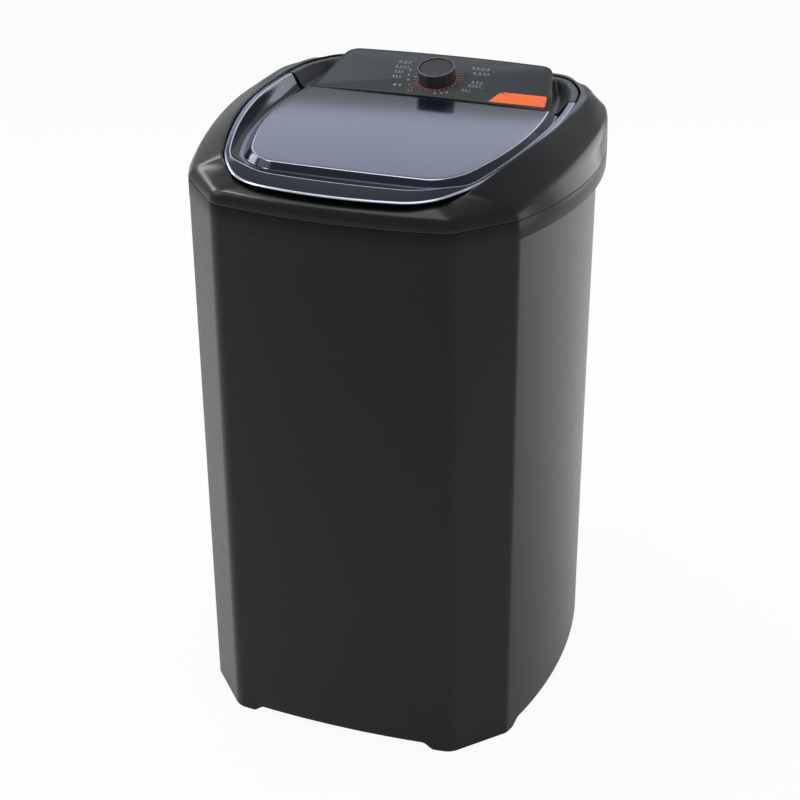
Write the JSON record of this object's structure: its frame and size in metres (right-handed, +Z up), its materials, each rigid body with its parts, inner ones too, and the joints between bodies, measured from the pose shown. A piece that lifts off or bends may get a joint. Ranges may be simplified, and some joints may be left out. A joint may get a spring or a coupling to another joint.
{
  "type": "semi-automatic washing machine",
  "caption": "Top-loading single-tub semi-automatic washing machine with a bowed, tapered cabinet, hinged moulded lid, sloped console with a dial, finned agitator, belt drive and rear drain.",
  "frame": {"origin": "on the floor under the middle of the machine's overall box", "axes": "+Z up, -Y towards the front panel, +X to the viewer's right when facing the front"},
  "size_m": [0.6, 0.648, 0.9706],
  "materials": {
    "cabinet_plastic": "satin charcoal, fine moulded grain",
    "frame_plastic": "semi-gloss charcoal",
    "console_plastic": "satin charcoal",
    "console_film": "satin graphite with plain printed ticks and numbers",
    "badge_plastic": "gloss orange",
    "tub_plastic": "pale grey",
    "base_plastic": "matt dark grey",
    "foot_rubber": "matt black",
    "seal_rubber": "black",
    "screw_steel": "zinc plated",
    "lid_plastic": "gloss blue grey",
    "shaft_steel": "ground steel",
    "knob_plastic": "satin black",
    "knob_disc_plastic": "satin dark grey",
    "timer_plastic": "ivory",
    "agitator_plastic": "white",
    "filter_plastic": "blue grey",
    "pulley_aluminium": "turned",
    "housing_aluminium": "cast",
    "bearing_steel": "ground",
    "bracket_steel": "grey zinc",
    "motor_paint": "dark grey enamel",
    "belt_rubber": "black",
    "capacitor_plastic": "off-white",
    "pipe_plastic": "grey, ribbed",
    "net_fabric": "woven mesh"
  },
  "bodies": {
    "body": {"cabinet_shell": "cabinet_plastic", "top_frame": "frame_plastic", "console_housing": "console_plastic", "console_plate": "console_film", "badge_plate": "badge_plastic", "tub": "tub_plastic", "base_plate": "base_plastic", "foot_pads": "foot_rubber", "rear_cover": "base_plastic", "cord_gland": "seal_rubber", "cover_screws": "screw_steel", "base_screws": "screw_steel", "lid_bumpers": "foot_rubber", "timer_body": "timer_plastic", "timer_screws": "screw_steel", "bearing_housing": "housing_aluminium", "bearings": "bearing_steel", "shaft_seal": "seal_rubber", "bearing_screws": "screw_steel", "motor_bracket": "bracket_steel", "motor_housing": "motor_paint", "motor_screws": "screw_steel", "drive_belt": "belt_rubber", "capacitor": "capacitor_plastic", "capacitor_clip": "bracket_steel", "drain_pipe": "pipe_plastic", "pipe_clamps": "bracket_steel", "drain_outlet": "base_plastic", "filter_guide": "tub_plastic", "guide_screws": "screw_steel"},
    "lid": {"lid": "lid_plastic", "hinge_pins": "shaft_steel"},
    "knob": {"knob": "knob_plastic", "knob_disc": "knob_disc_plastic", "timer_shaft": "shaft_steel"},
    "agitator": {"agitator": "agitator_plastic", "agitator_cap": "filter_plastic", "agitator_screw": "screw_steel", "drive_shaft": "shaft_steel", "large_pulley": "pulley_aluminium", "pulley_nut": "screw_steel"},
    "motor_rotor": {"motor_shaft": "shaft_steel", "motor_pulley": "pulley_aluminium", "pulley_grub_screw": "screw_steel"},
    "filter": {"filter_frame": "filter_plastic", "filter_net": "net_fabric"}
  },
  "joints": [
    {"name": "lid_hinge", "type": "hinge", "parent": "body", "child": "lid", "pos_m": [0, 0.1115, 0.936], "axis": [-1, 0, 0], "range_deg": [0, 95]},
    {"name": "knob_turn", "type": "hinge", "parent": "body", "child": "knob", "pos_m": [-0.001, 0.1695, 0.94185], "axis": [0, -0.2652, 0.9642], "continuous": true},
    {"name": "agitator_spin", "type": "hinge", "parent": "body", "child": "agitator", "pos_m": [0, -0.022, 0.3], "axis": [0, 0, 1], "continuous": true},
    {"name": "motor_spin", "type": "hinge", "parent": "body", "child": "motor_rotor", "pos_m": [0, 0.143, 0.2], "axis": [0, 0, 1], "continuous": true},
    {"name": "filter_slide", "type": "slide", "parent": "body", "child": "filter", "axis": [0, 0, 1], "range_m": [0, 0.072]}
  ],
  "couplings": [
    {"joint": "motor_spin", "follows": "agitator_spin", "ratio": 4}
  ]
}
